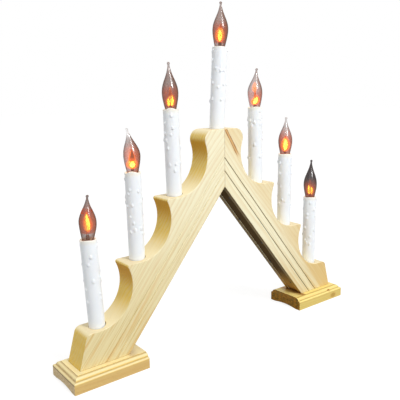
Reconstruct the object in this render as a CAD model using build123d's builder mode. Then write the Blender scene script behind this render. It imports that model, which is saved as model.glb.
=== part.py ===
from build123d import *
import os
from math import atan2, cos, radians, sin, sqrt, tan

# X runs along the arch from its middle, the front faces -Y and the floor is Z = 0. Sizes are millimetres.

# Arms: steps that carry the candles, and the scallops between them
board_thickness = 28.0
step_count = 3
step_run = 50.0
first_candle_x = 60.0
low_platform_z = 51.5
scallop_radius = 40.0
nose_rise = 21.0
apex_nose_rise = 28.5
candle_inset = 4.5
arm_web = 33.0
outer_platform = 13.5
end_batter = 10.0
end_corner_radius = 7.0
nose_radius = 2.5
apex_nose_radius = 11.0
arris_radius = 0.8
face_line_depths = (11.5, 21.0)
face_line_width = 1.4
face_line_cut = 0.8

# Feet: an upright face, a bead, a round above it and a raised panel, with a narrow ledge between each two
foot_length = 84.5
foot_depth = 52.0
foot_overhang = 12.0
foot_face_height = 10.0
foot_bead = 2.0
foot_step = 0.3
foot_round = 3.0
foot_ledge = 0.8
foot_panel_height = 0.7
foot_hollow_width = 36.0
foot_hollow_depth = 1.8

# Mitre dowels
dowel_diameter = 6.0
dowel_length = 34.0
dowel_spread = 18.0
dowel_rise = 26.0
dowel_chamfer = 0.6
dowel_clearance = 0.05
dowel_end_gap = 0.5

# Foot screws
screw_diameter = 4.0
screw_length = 38.0
screw_head_diameter = 8.0
screw_tip_length = 6.0
screw_sink = 1.0
screw_slot_width = 1.0
screw_slot_depth = 1.4
screw_clearance = 0.1
screw_inner_inset = 16.0
screw_outer_inset = 12.0
screw_spread = 19.0

# Wiring channel in the underside of the arms, and its cover
channel_width = 10.0
channel_depth = 10.0
end_groove_height = 8.0
cover_width = 16.0
cover_thickness = 2.0
cover_recess = 0.8
cover_gap = 0.3
pin_diameter = 1.2
pin_length = 10.0
pin_head_diameter = 3.0
pin_head_height = 0.6
pin_count = 5
pin_clearance = 0.05

# Candle sleeves. Each stands loose in its seat and leans a little: degrees towards +X, from left to right.
# Some seats are bored less deep, so that their candles stand higher.
candle_leans = (-2.6, -0.5, -1.0, 3.5, -0.5, 0.8, 0.3)
candle_stands = (2.3, 1.8, 2.0, 0.0, 0.0, 0.8, 0.4)
sleeve_diameter = 16.8
sleeve_wall = 1.3
sleeve_exposed = 90.0
sleeve_seat_depth = 15.0
sleeve_clearance = 0.1
sleeve_rim_radius = 0.5
ledge_thickness = 2.0
ledge_width = 2.6
wire_hole_diameter = 8.0
drip_count = 16
drip_radius = 1.6
drip_stand = 0.7
drip_first_drop = 5.0
drip_pitch = 3.9
drip_turn = 137.5
sleeve_turn = 83.0

# Lampholders: a moulded cup, a screw shell and a centre contact. Drops go down from the sleeve's rim.
cap_crest_radius = 4.75
thread_depth = 0.4
thread_pitch = 1.81
thread_clearance = 0.1
shell_wall = 0.3
shell_clearance = 0.05
socket_clearance = 0.3
socket_drop = 7.0
socket_depth = 13.6
socket_floor = 5.4
shell_mouth_drop = 8.5
contact_base_radius = 3.2
contact_base_height = 0.6
contact_button_radius = 1.8
contact_gap = 0.3

# Bulbs
cap_lip_radius = 5.0
cap_lip_height = 0.7
cap_floor = 0.5
cap_hole_radius = 2.8
cap_ridges = 4
cap_neck_clearance = 0.05
plug_height = 1.2
plug_clearance = 0.02
tip_radius = 1.6
tip_height = 0.7
bulb_radius = 8.65
bulb_belly_height = 16.5
bulb_height = 47.0
glass_wall = 0.8
glass_neck_radius = 4.0
glass_neck_length = 6.0
glass_rim_radius = 5.9
glass_shoulder_radius = 5.4
glass_shoulder_drop = 17.0
glass_taper_radius = 2.6
glass_taper_drop = 10.0
glass_tail_radius = 0.95
glass_tail_length = 3.0
glass_pip_radius = 1.5
glass_tip_depth = 9.0
stem_radius = 1.9
stem_top_height = 4.0
flame_thickness = 0.5
flame_gap = 1.4
flame_half_width = 3.4
flame_foot_height = 6.5
flame_belly_height = 11.5
flame_tip_height = 23.0
flame_tip_slope = 0.3
flame_leg_radius = 0.35

# Wires and the cord's inlet
wire_diameter = 2.0
wire_spread = 1.8
wire_lane = 1.6
wire_depth = 4.6
wire_bend = 3.0
wire_floor_gap = 3.0
wire_end_gap = 0.05
wire_bend_margin = 0.5
straight_angle = 0.01
inlet_rise = 20.0
inlet_depth = 7.0
inlet_wire_pitch = 2.5
grommet_diameter = 8.0
grommet_bore = 5.6
grommet_clearance = 0.05
grommet_flange_diameter = 12.0
grommet_flange_height = 2.0

# Places worked out from the sizes above
sides = ((-1, "left"), (1, "right"))
middle = step_count
step_rise = scallop_radius + nose_rise
apex_rise = scallop_radius + apex_nose_rise
arm_angle = atan2(step_rise, step_run)
bead_top_z = foot_face_height + foot_bead
round_top_z = bead_top_z + foot_step + foot_round
foot_height = round_top_z + foot_panel_height
round_inset = foot_bead + foot_ledge
panel_inset = round_inset + foot_round + foot_ledge
half_board = board_thickness / 2
top_platform_z = low_platform_z + (step_count - 1) * step_rise
steps = [(first_candle_x + i * step_run, top_platform_z - i * step_rise) for i in range(step_count)]
apex_z = top_platform_z + apex_rise
scallops = [(x + candle_inset, z + scallop_radius) for x, z in steps]
top_scallop_x, top_scallop_z = scallops[0]
web_distance = scallop_radius + arm_web
apex_under_z = top_scallop_z + (top_scallop_x * sin(arm_angle) - web_distance) / cos(arm_angle)
outer_top_x = scallops[-1][0] + outer_platform
outer_bottom_x = outer_top_x + end_batter
foot_outer_x = outer_bottom_x + foot_overhang
foot_middle_x = foot_outer_x - foot_length / 2
screw_seat_z = foot_hollow_depth + screw_sink
dowel_z = apex_under_z + dowel_rise
dowel_places = [(-dowel_spread / 2, dowel_z), (dowel_spread / 2, dowel_z)]
candles = [(-x, z) for x, z in reversed(steps)] + [(0.0, apex_z)] + steps

sleeve_radius = sleeve_diameter / 2
widest_lean = radians(max(abs(lean) for lean in candle_leans))
seat_radius = sleeve_radius / cos(widest_lean) + sleeve_seat_depth / 2 * tan(widest_lean) + sleeve_clearance
seat_depth = sleeve_seat_depth + sleeve_radius * sin(widest_lean)
sleeve_bore = sleeve_radius - sleeve_wall
cap_root_radius = cap_crest_radius - thread_depth
shell_crest_radius = cap_crest_radius + thread_clearance
shell_root_radius = shell_crest_radius + thread_depth
shell_radius = shell_root_radius + shell_wall
socket_bore = shell_radius + shell_clearance
socket_radius = sleeve_bore - socket_clearance
socket_floor_drop = socket_drop + socket_depth
socket_bottom_drop = socket_floor_drop + socket_floor
glass_neck_drop = shell_mouth_drop + glass_neck_length - cap_lip_height
cap_top_drop = shell_mouth_drop - cap_lip_height
ridge_bottom_drop = shell_mouth_drop + cap_ridges * thread_pitch
cap_bottom_drop = ridge_bottom_drop + cap_floor + plug_height
tip_drop = cap_bottom_drop + tip_height
cap_inner_radius = glass_neck_radius + cap_neck_clearance
plug_radius = cap_hole_radius - plug_clearance
rim_rise = sleeve_exposed + sleeve_seat_depth / 2
wire_end_rise = rim_rise - socket_bottom_drop - wire_end_gap
inlet_z = foot_height + inlet_rise
floor_wire_z = foot_height + wire_floor_gap + wire_diameter / 2
bend_run = wire_bend * (1 + tan(arm_angle / 2)) + wire_bend_margin


def under_z(x, depth=0.0):
    """Height of the line at a depth inside the underside of an arm, at a distance from the middle."""
    return apex_under_z + depth / cos(arm_angle) - x * tan(arm_angle)


def under_x(z, depth=0.0):
    """Distance from the middle of the same line, at a height."""
    return (apex_under_z + depth / cos(arm_angle) - z) / tan(arm_angle)


def strip_outline(side, near, far, gap=0.0):
    """Corners of a strip along one arm's underside, between two depths, cut at the mitre and the foot."""
    bottom = foot_height + gap
    mitre = gap / 2
    return [
        (side * mitre, under_z(mitre, near)),
        (side * mitre, under_z(mitre, far)),
        (side * under_x(bottom, far), bottom),
        (side * under_x(bottom, near), bottom),
    ]


def arm_outline(side):
    """Corners of one arm before the scallops are cut: the underside, the outer end and the steps."""
    corners = [
        (0.0, apex_under_z),
        (side * under_x(foot_height), foot_height),
        (side * outer_bottom_x, foot_height),
        (side * outer_top_x, steps[-1][1]),
    ]
    platforms = [z for x, z in reversed(steps)] + [apex_z]
    for scallop, floor_z, next_z in zip(reversed(scallops), platforms, platforms[1:]):
        corners.append((side * scallop[0], floor_z))
        corners.append((side * scallop[0], next_z))
    corners.append((0.0, apex_z))
    return corners


def nose_point(scallop, platform_z):
    """Where a platform meets the scallop below it."""
    scallop_x, scallop_z = scallop
    return scallop_x - sqrt(scallop_radius**2 - (platform_z - scallop_z) ** 2), platform_z


def screw_places(side):
    """Middles of one foot's screws: two beside the wiring, one near the outer end."""
    inner_x = under_x(foot_height) + screw_inner_inset
    return [
        (side * inner_x, -screw_spread / 2),
        (side * inner_x, screw_spread / 2),
        (side * (outer_bottom_x - screw_outer_inset), 0.0),
    ]


def underside_plane(side, x, y, depth):
    """A plane at a depth inside an arm's underside that faces straight out of the wood."""
    inward_x, inward_z = sin(arm_angle), cos(arm_angle)
    origin = (side * (x + depth * inward_x), y, under_z(x) + depth * inward_z)
    return Plane(origin=origin, x_dir=(0, 1, 0), z_dir=(-side * inward_x, 0, -inward_z))


def pin_planes(side, depth):
    """Planes of one cover's pins, in turn on the front and the back ledge of the channel."""
    ledge_y = (channel_width + cover_width) / 4
    lowest_x = under_x(foot_height + cover_gap)
    planes = []
    for pin in range(pin_count):
        x = lowest_x * (pin + 0.5) / pin_count
        planes.append(underside_plane(side, x, ledge_y if pin % 2 else -ledge_y, depth))
    return planes


def face_line_plane(side, depth):
    """A plane across one arm's front at a depth inside the underside, facing down along the arm."""
    origin = (0, -half_board, under_z(0, depth))
    return Plane(origin=origin, x_dir=(0, 1, 0), z_dir=(side * cos(arm_angle), 0, -sin(arm_angle)))


def inlet_plane():
    """The cord inlet on the back of the left arm, facing backwards."""
    origin = (-under_x(inlet_z, inlet_depth), half_board, inlet_z)
    return Plane(origin=origin, x_dir=(1, 0, 0), z_dir=(0, 1, 0))


def candle_plane(index):
    """The leaning plane of one candle, on its axis and halfway down its seat."""
    x, z = candles[index]
    lean = candle_leans[index % len(candle_leans)]
    return Plane(origin=(x, 0, z - sleeve_seat_depth / 2)).rotated((0, lean, 0))


def candle_stand(index):
    """How much higher than the others one candle stands."""
    return candle_stands[index % len(candle_stands)]


def ridge_points(radius, bottom, count, inward):
    """Points up a row of thread ridges: flank, crest, flank and root, each a quarter of the pitch."""
    quarter = thread_pitch / 4
    crest = radius + (-thread_depth if inward else thread_depth)
    points = []
    for ridge in range(count):
        start = bottom + ridge * thread_pitch
        points += [
            (radius, start),
            (crest, start + quarter),
            (crest, start + 2 * quarter),
            (radius, start + 3 * quarter),
        ]
    return points


os.makedirs("parts", exist_ok=True)


def save(piece, name):
    """Label one finished piece and write its file."""
    piece.label = name
    export_step(piece, f"parts/{name}.step")


# Arms
for side, side_name in sides:
    with BuildPart() as arm:
        with BuildSketch(Plane.XZ) as outline:
            with BuildLine():
                Polyline(*arm_outline(side), close=True)
            make_face()
            with Locations(*[(side * x, z) for x, z in scallops]):
                Circle(scallop_radius, mode=Mode.SUBTRACT)
            noses = [nose_point(lower, z) for lower, (x, z) in zip(scallops[1:], steps)]
            apex_nose = nose_point(scallops[0], apex_z)
            for radius, (x, z) in [(nose_radius, nose) for nose in noses] + [
                (apex_nose_radius, apex_nose),
                (end_corner_radius, (outer_top_x, steps[-1][1])),
            ]:
                fillet(outline.vertices().sort_by_distance((side * x, z))[0], radius=radius)
        extrude(amount=half_board, both=True)
        rims = arm.edges().group_by(Axis.Y)[0] + arm.edges().group_by(Axis.Y)[-1]
        off_mitre = rims.filter_by(lambda edge: abs(edge.center().X) > arris_radius)
        off_foot = off_mitre.filter_by(lambda edge: edge.center().Z > foot_height + arris_radius)
        fillet(off_foot, radius=arris_radius)
        half_line = face_line_width / 2
        for depth in face_line_depths:
            with BuildSketch(face_line_plane(side, depth)):
                with BuildLine():
                    Polyline((0, -half_line), (0, half_line), (face_line_cut, 0), close=True)
                make_face()
            extrude(amount=foot_outer_x / cos(arm_angle), both=True, mode=Mode.SUBTRACT)
        for step, (x, z) in enumerate([(0.0, apex_z)] + steps):
            with Locations((side * x, 0, z)):
                depth = seat_depth - candle_stand(middle + side * step)
                CounterBoreHole(wire_hole_diameter / 2, seat_radius, depth)
        for near, far, width in (
            (0, channel_depth, channel_width),
            (0, cover_recess + cover_thickness, cover_width),
        ):
            with BuildSketch(Plane.XZ):
                with BuildLine():
                    Polyline(*strip_outline(side, near, far), close=True)
                make_face()
            extrude(amount=width / 2, both=True, mode=Mode.SUBTRACT)
        groove_start = under_x(foot_height)
        groove_length = steps[-1][0] + wire_hole_diameter / 2 - groove_start
        with Locations((side * (groove_start + groove_length / 2), 0, foot_height)):
            Box(
                groove_length,
                channel_width,
                end_groove_height,
                align=(Align.CENTER, Align.CENTER, Align.MIN),
                mode=Mode.SUBTRACT,
            )
        with BuildSketch(Plane.YZ):
            with Locations(*dowel_places):
                Circle(dowel_diameter / 2 + dowel_clearance)
        extrude(amount=side * (dowel_length / 2 + dowel_end_gap), mode=Mode.SUBTRACT)
        with Locations(*[Location((x, y, foot_height), (180, 0, 0)) for x, y in screw_places(side)]):
            pilot_depth = screw_seat_z + screw_length + screw_clearance - foot_height
            Hole(screw_diameter / 2 + screw_clearance, depth=pilot_depth)
        for plane in pin_planes(side, cover_recess + cover_thickness):
            with BuildSketch(plane):
                Circle(pin_diameter / 2 + pin_clearance)
            extrude(amount=-(pin_length - cover_thickness + pin_clearance), mode=Mode.SUBTRACT)
        if side < 0:
            with BuildSketch(inlet_plane()):
                Circle(grommet_diameter / 2 + grommet_clearance)
            extrude(amount=-(half_board - channel_width / 2), mode=Mode.SUBTRACT)
    save(arm.part, f"{side_name}_arm")

# Feet: rounded along the front, the back and the outer end, cut square at the inner end
hollow_radius = (foot_hollow_width**2 / 4 + foot_hollow_depth**2) / (2 * foot_hollow_depth)
for side, side_name in sides:
    with BuildPart() as foot:
        for inset, top_z, radius in (
            (0.0, bead_top_z, foot_bead),
            (round_inset, round_top_z, foot_round),
            (panel_inset, foot_height, 0.0),
        ):
            with Locations((side * (foot_middle_x - inset / 2), 0, 0)):
                Box(
                    foot_length - inset,
                    foot_depth - 2 * inset,
                    top_z,
                    align=(Align.CENTER, Align.CENTER, Align.MIN),
                )
            if radius:
                top_edges = foot.edges().group_by(Axis.Z)[-1].sort_by(Axis.X, reverse=side < 0)
                fillet(top_edges[1:], radius=radius)
        with BuildSketch(Plane.YZ):
            with Locations((0, foot_hollow_depth - hollow_radius)):
                Circle(hollow_radius)
        extrude(amount=side * foot_outer_x, mode=Mode.SUBTRACT)
        with Locations(*[Location((x, y, screw_seat_z), (180, 0, 0)) for x, y in screw_places(side)]):
            CounterSinkHole(
                screw_diameter / 2 + screw_clearance,
                screw_head_diameter / 2 + screw_clearance,
                counter_sink_angle=90,
            )
    save(foot.part, f"{side_name}_foot")

# Mitre dowels
with BuildPart() as mitre_dowels:
    with BuildSketch(Plane.YZ):
        with Locations(*dowel_places):
            Circle(dowel_diameter / 2)
    extrude(amount=dowel_length / 2, both=True)
    chamfer(mitre_dowels.edges().filter_by(GeomType.CIRCLE), length=dowel_chamfer)
save(mitre_dowels.part, "mitre_dowels")

# Foot screws: countersunk, slotted heads, driven from below
with BuildPart() as foot_screw:
    with BuildSketch(Plane.XZ):
        with BuildLine():
            head_radius = screw_head_diameter / 2
            shank_radius = screw_diameter / 2
            Polyline(
                (0, 0),
                (head_radius, 0),
                (shank_radius, head_radius - shank_radius),
                (shank_radius, screw_length - screw_tip_length),
                (0, screw_length),
                close=True,
            )
        make_face()
    revolve(axis=Axis.Z)
    Box(
        screw_head_diameter,
        screw_slot_width,
        screw_slot_depth,
        align=(Align.CENTER, Align.CENTER, Align.MIN),
        mode=Mode.SUBTRACT,
    )
with BuildPart() as foot_screws:
    for side, side_name in sides:
        with Locations(*[(x, y, screw_seat_z) for x, y in screw_places(side)]):
            add(foot_screw.part)
save(foot_screws.part, "foot_screws")

# Channel covers and their pins
for side, side_name in sides:
    with BuildPart() as cover:
        with BuildSketch(Plane.XZ):
            with BuildLine():
                inner_depth = cover_recess + cover_thickness
                Polyline(*strip_outline(side, cover_recess, inner_depth, cover_gap), close=True)
            make_face()
        extrude(amount=cover_width / 2 - cover_gap, both=True)
        for plane in pin_planes(side, cover_recess):
            with BuildSketch(plane):
                Circle(pin_diameter / 2 + pin_clearance)
            extrude(amount=-cover_thickness, mode=Mode.SUBTRACT)
    save(cover.part, f"{side_name}_channel_cover")
with BuildPart() as cover_pins:
    for side, side_name in sides:
        for plane in pin_planes(side, cover_recess):
            with BuildSketch(plane):
                Circle(pin_diameter / 2)
            extrude(amount=-pin_length)
            with BuildSketch(plane):
                Circle(pin_head_diameter / 2)
            extrude(amount=pin_head_height)
save(cover_pins.part, "cover_pins")

# Candle sleeve with its rim at Z = 0: drips outside, a ledge for the lampholder inside
with BuildPart() as sleeve_pattern:
    sleeve_length = sleeve_exposed + sleeve_seat_depth
    Cylinder(sleeve_radius, sleeve_length, align=(Align.CENTER, Align.CENTER, Align.MAX))
    fillet(sleeve_pattern.edges().group_by(Axis.Z)[-1], radius=sleeve_rim_radius)
    for drip in range(drip_count):
        with PolarLocations(sleeve_radius - drip_radius + drip_stand, 1, start_angle=drip * drip_turn):
            with Locations((0, 0, -drip_first_drop - drip * drip_pitch)):
                Sphere(drip_radius)
    Cylinder(sleeve_bore, sleeve_length, align=(Align.CENTER, Align.CENTER, Align.MAX), mode=Mode.SUBTRACT)
    with BuildSketch(Plane.XY.offset(-socket_bottom_drop)):
        Circle(sleeve_bore)
        Circle(sleeve_bore - ledge_width, mode=Mode.SUBTRACT)
    extrude(amount=-ledge_thickness)

# Lampholder body
with BuildPart() as socket_pattern:
    with BuildSketch(Plane.XY.offset(-socket_bottom_drop)):
        Circle(socket_radius)
    extrude(amount=socket_bottom_drop - socket_drop)
    with BuildSketch(Plane.XY.offset(-socket_floor_drop)):
        Circle(socket_bore)
    extrude(amount=socket_depth, mode=Mode.SUBTRACT)

# Lampholder screw shell
with BuildPart() as shell_pattern:
    with BuildSketch(Plane.XZ):
        with BuildLine():
            Polyline(
                (shell_radius, -socket_floor_drop),
                (shell_root_radius, -socket_floor_drop),
                *ridge_points(shell_root_radius, -ridge_bottom_drop, cap_ridges, True),
                (shell_root_radius, -shell_mouth_drop),
                (shell_radius, -shell_mouth_drop),
                close=True,
            )
        make_face()
    revolve(axis=Axis.Z)

# Lampholder centre contact
with BuildPart() as contact_pattern:
    with BuildSketch(Plane.XY.offset(-socket_floor_drop)):
        Circle(contact_base_radius)
    extrude(amount=contact_base_height)
    with BuildSketch(Plane.XY.offset(-socket_floor_drop)):
        Circle(contact_button_radius)
    extrude(amount=socket_floor_drop - tip_drop - contact_gap)

# Bulb screw cap: a lip, a row of ridges and a floor with a hole
with BuildPart() as cap_pattern:
    with BuildSketch(Plane.XZ):
        with BuildLine():
            Polyline(
                (cap_hole_radius, -ridge_bottom_drop - cap_floor),
                (cap_root_radius, -ridge_bottom_drop - cap_floor),
                *ridge_points(cap_root_radius, -ridge_bottom_drop, cap_ridges, False),
                (cap_root_radius, -shell_mouth_drop + thread_clearance),
                (cap_lip_radius, -shell_mouth_drop + thread_clearance),
                (cap_lip_radius, -cap_top_drop),
                (cap_inner_radius, -cap_top_drop),
                (cap_inner_radius, -ridge_bottom_drop),
                (cap_hole_radius, -ridge_bottom_drop),
                close=True,
            )
        make_face()
    revolve(axis=Axis.Z)

# Bulb end contact: an insulating plug through the cap's floor and a soldered tip
with BuildPart() as plug_pattern:
    with BuildSketch(Plane.XZ):
        with BuildLine():
            Polyline(
                (0, -tip_drop),
                (tip_radius, -tip_drop),
                (tip_radius, -cap_bottom_drop),
                (plug_radius, -cap_bottom_drop),
                (plug_radius, -ridge_bottom_drop),
                (0, -ridge_bottom_drop),
                close=True,
            )
        make_face()
    revolve(axis=Axis.Z)

# Bulb glass: a flame-shaped envelope with a drawn-out tail, and the stem inside it
with BuildPart() as glass_pattern:
    tail_bottom = bulb_height - glass_tail_length - glass_pip_radius
    with BuildSketch(Plane.XZ):
        with BuildLine():
            neck = Polyline(
                (0, -glass_neck_drop),
                (glass_neck_radius, -glass_neck_drop),
                (glass_neck_radius, -cap_top_drop),
            )
            flank = Spline(
                neck @ 1,
                (glass_rim_radius, 0),
                (bulb_radius, bulb_belly_height),
                (glass_shoulder_radius, bulb_height - glass_shoulder_drop),
                (glass_taper_radius, bulb_height - glass_taper_drop),
                (glass_tail_radius, tail_bottom),
                tangents=((0, 1), (0, 1)),
            )
            tail = Line(flank @ 1, (glass_tail_radius, bulb_height - glass_pip_radius))
            Polyline(tail @ 1, (0, bulb_height - glass_pip_radius), (0, -glass_neck_drop))
        make_face()
    revolve(axis=Axis.Z)
    with Locations((0, 0, bulb_height - glass_pip_radius)):
        Sphere(glass_pip_radius)
    with BuildSketch(Plane.XZ):
        with BuildLine():
            inner_neck = Polyline(
                (0, -glass_neck_drop + glass_wall),
                (glass_neck_radius - glass_wall, -glass_neck_drop + glass_wall),
                (glass_neck_radius - glass_wall, -cap_top_drop),
            )
            inner_flank = Spline(
                inner_neck @ 1,
                (glass_rim_radius - glass_wall, 0),
                (bulb_radius - glass_wall, bulb_belly_height),
                (glass_shoulder_radius - glass_wall, bulb_height - glass_shoulder_drop),
                (0, bulb_height - glass_tip_depth),
                tangents=((0, 1), (-1, 1)),
            )
            Line(inner_flank @ 1, inner_neck @ 0)
        make_face()
    revolve(axis=Axis.Z, mode=Mode.SUBTRACT)
    with BuildSketch(Plane.XY.offset(-glass_neck_drop)):
        Circle(stem_radius)
    extrude(amount=glass_neck_drop + stem_top_height)

# Bulb flame: two flame-shaped plates, each on its own leg
with BuildPart() as flame_pattern:
    for face_y in (-1, 1):
        plate_y = face_y * flame_gap / 2
        with BuildSketch(Plane.XZ.offset(-plate_y)):
            with BuildLine():
                right_edge = Spline(
                    (0, flame_foot_height),
                    (flame_half_width, flame_belly_height),
                    (0, flame_tip_height),
                    tangents=((1, 0), (-flame_tip_slope, 1)),
                )
                Spline(
                    right_edge @ 1,
                    (-flame_half_width, flame_belly_height),
                    right_edge @ 0,
                    tangents=((-flame_tip_slope, -1), (1, 0)),
                )
            make_face()
        extrude(amount=flame_thickness / 2, both=True)
        with BuildSketch(Plane.XY.offset(stem_top_height)):
            with Locations((0, plate_y)):
                Circle(flame_leg_radius)
        extrude(amount=flame_belly_height - stem_top_height)

# One set of pieces on each candle seat, numbered from the left
candle_rims = [candle_plane(index).offset(rim_rise + candle_stand(index)) for index in range(len(candles))]
for number, rim in enumerate(candle_rims, start=1):
    for name, pattern in (
        ("candle_sleeve", sleeve_pattern),
        ("socket_body", socket_pattern),
        ("bulb_cap", cap_pattern),
        ("bulb_contact", plug_pattern),
        ("bulb_glass", glass_pattern),
        ("bulb_flame", flame_pattern),
    ):
        with BuildPart() as piece:
            with Locations(rim):
                add(pattern.part, rotation=(0, 0, number * sleeve_turn))
        save(piece.part, f"{name}_{number}")
for name, pattern in (("socket_shells", shell_pattern), ("socket_contacts", contact_pattern)):
    with BuildPart() as group:
        with Locations(*candle_rims):
            add(pattern.part)
    save(group.part, name)


def lay_wire(points):
    """Sweep one wire along straight runs joined by bends, leaving out points that turn nothing."""
    points = [Vector(*point) for point in points]
    corners = []
    for before, point, after in zip(points, points[1:], points[2:]):
        if (after - point).get_angle(point - before) > straight_angle:
            corners.append(point)
    with BuildLine() as route:
        FilletPolyline(points[0], *corners, points[-1], radius=wire_bend)
    with BuildSketch(Plane(origin=route.line @ 0, z_dir=route.line % 0)) as section:
        Circle(wire_diameter / 2)
    sweep(section.sketch, path=route.line)


def wire_drop(index, shift, lane):
    """A wire's end at one socket, and the point below it in the candle's seat."""
    plane = candle_plane(index)
    top = wire_end_rise + candle_stand(index)
    return [plane.from_local_coords((shift, lane, rise)) for rise in (top, 0)]


def link_route(side, upper, lower):
    """A wire from one socket down its hole, along the channel and up to the next socket."""
    upper_drop = wire_drop(upper, side * wire_spread, -wire_lane)
    lower_drop = wire_drop(lower, -side * wire_spread, -wire_lane)
    upper_x = abs(upper_drop[1].X)
    lower_x = abs(lower_drop[1].X)
    turn_z = max(under_z(lower_x - bend_run, wire_depth), floor_wire_z)
    channel_run = [
        (side * upper_x, -wire_lane, under_z(upper_x, wire_depth)),
        (side * under_x(turn_z, wire_depth), -wire_lane, turn_z),
        (side * lower_x, -wire_lane, turn_z),
    ]
    return upper_drop + channel_run + lower_drop[::-1]


def outer_lead(side):
    """A wire from an outermost socket down its hole and along the foot to the channel."""
    drop = wire_drop(middle + side * step_count, side * wire_spread, wire_lane)
    return drop + [
        (drop[1].X, wire_lane, floor_wire_z),
        (side * under_x(floor_wire_z, wire_depth), wire_lane, floor_wire_z),
    ]


def inlet_lead(shift):
    """A wire that turns out of the channel through the inlet, shifted up the arm."""
    x = -under_x(inlet_z, inlet_depth) + shift * cos(arm_angle)
    z = inlet_z + shift * sin(arm_angle)
    return [(x, wire_lane, z), (x, half_board + grommet_flange_height, z)]


# Wires
for side, side_name in sides:
    with BuildPart() as link_wires:
        for step in range(step_count):
            lay_wire(link_route(side, middle + side * step, middle + side * (step + 1)))
    save(link_wires.part, f"{side_name}_link_wires")
with BuildPart() as feed_wire:
    lay_wire(outer_lead(-1) + inlet_lead(-inlet_wire_pitch / 2))
save(feed_wire.part, "feed_wire")
with BuildPart() as return_wire:
    channel_top = (0, wire_lane, under_z(0, wire_depth))
    lay_wire(outer_lead(1) + [channel_top] + inlet_lead(inlet_wire_pitch / 2))
save(return_wire.part, "return_wire")

# Cord inlet: a flanged bush in the back of the left arm
with BuildPart() as cord_grommet:
    with BuildSketch(inlet_plane()):
        Circle(grommet_diameter / 2)
    extrude(amount=-(half_board - channel_width / 2))
    with BuildSketch(inlet_plane()):
        Circle(grommet_flange_diameter / 2)
    extrude(amount=grommet_flange_height)
    with BuildSketch(inlet_plane().offset(grommet_flange_height)):
        Circle(grommet_bore / 2)
    extrude(amount=-(half_board - channel_width / 2 + grommet_flange_height), mode=Mode.SUBTRACT)
save(cord_grommet.part, "cord_grommet")
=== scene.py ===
import random
from math import atan2, cos, pi, radians, sin
from typing import NamedTuple

import bpy
from mathutils import Matrix, Vector


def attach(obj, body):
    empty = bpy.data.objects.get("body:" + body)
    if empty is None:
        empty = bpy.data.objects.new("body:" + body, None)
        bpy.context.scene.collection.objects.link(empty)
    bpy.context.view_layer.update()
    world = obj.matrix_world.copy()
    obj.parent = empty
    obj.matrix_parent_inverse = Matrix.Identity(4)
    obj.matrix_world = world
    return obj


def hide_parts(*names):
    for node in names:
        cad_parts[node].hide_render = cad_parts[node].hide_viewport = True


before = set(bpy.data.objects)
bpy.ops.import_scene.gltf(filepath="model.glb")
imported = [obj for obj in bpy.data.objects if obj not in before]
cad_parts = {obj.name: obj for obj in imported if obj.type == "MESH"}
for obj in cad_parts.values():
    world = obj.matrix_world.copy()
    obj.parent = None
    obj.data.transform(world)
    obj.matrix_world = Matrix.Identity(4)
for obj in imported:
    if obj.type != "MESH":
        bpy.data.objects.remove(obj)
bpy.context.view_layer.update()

# Shapes are in millimetres, as in the part's own drawing, and turn into metres where a mesh is made.
# Finishes, lamps and the camera are in metres.
MM = 0.001
SIDEWAYS = (1, 0, 0)
BACKWARDS = (0, 1, 0)
UPWARDS = (0, 0, 1)

# The camera's directions, place and focal length, and the picture's right as seen from above
CAMERA_AZIMUTH = -37.58
CAMERA_ELEVATION = 11.64
CAMERA_ROLL = radians(-1.02)
CAMERA_PLACE = (-0.38772, -0.47101, 0.28567)
FOCAL_PIXELS = 538.96
PICTURE_PIXELS = 400.0
SENSOR_WIDTH = 36.0
PICTURE_RIGHT = Vector((0.7925, -0.61, 0.0))

# Arms: the underside's distance from the middle of the base, and the face lines' depths inside it
ARM_ANGLE = radians(50.66)
ARM_SLOPE = sin(ARM_ANGLE)
ARM_RUN = cos(ARM_ANGLE)
BOARD_HALF = 14.0
UNDERSIDE = 112.22
FACE_LINES = (11.5, 21.0)
GROWTH_RING = 3.4
# The right arm's streak: how it slopes across the grain, and where it lies across the arm
STREAK_SLOPE = 0.145
STREAK_PLACE = 127.4

# Feet: heights of the top, the upright face and the ledges, and where an arm's underside meets the top
FOOT_TOP = 16.0
FOOT_FACE = 9.8
FOOT_LEDGES = (12.15, 15.45)
ARM_HEEL = (UNDERSIDE - FOOT_TOP * ARM_RUN) / ARM_SLOPE
# Knots in the right foot's front: place along it, height and size; and how much longer than high knots are
RIGHT_KNOTS = ((183.0, 4.8, 3.0), (176.0, 12.6, 1.4))
KNOT_STRETCH = 1.6


class Candle(NamedTuple):
    """One candle: the middle of its seat, how it stands there, and the wax at its rim."""

    x: float
    z: float
    lean: float  # degrees to the right
    stand: float  # how far short of fully home
    wave: float  # how high the wax stands at the front of the rim
    drop: float  # how far the rim sits below its place in the drawing


CANDLES = (
    Candle(-160.0, 51.5, -2.6, 2.3, 0.6, 0.0),
    Candle(-110.0, 112.5, -0.5, 1.8, 1.5, 0.0),
    Candle(-60.0, 173.5, -1.0, 2.0, 1.5, 0.0),
    Candle(0.0, 242.0, 3.5, 0.0, 0.4, 1.6),
    Candle(60.0, 173.5, -0.5, 0.0, 0.8, 0.0),
    Candle(110.0, 112.5, 0.8, 0.8, 0.4, -0.6),
    Candle(160.0, 51.5, 0.3, 0.4, 0.5, 0.0),
)
SEAT_HALF = 7.5
RIM_RISE = 97.5

# Candle sleeves: a tube with a rounded rim and a ledge inside
SLEEVE_RADIUS = 8.4
SLEEVE_BORE = 7.1
SLEEVE_LENGTH = 105.0
SLEEVE_EXPOSED = 90.0
SLEEVE_SIDES = 104
SLEEVE_ROWS = 180
LEDGE_DROP = 26.0
LEDGE_THICKNESS = 2.0
LEDGE_RADIUS = 4.5
RIM_ROUND = 0.62
RIM_STEPS = 12
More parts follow.
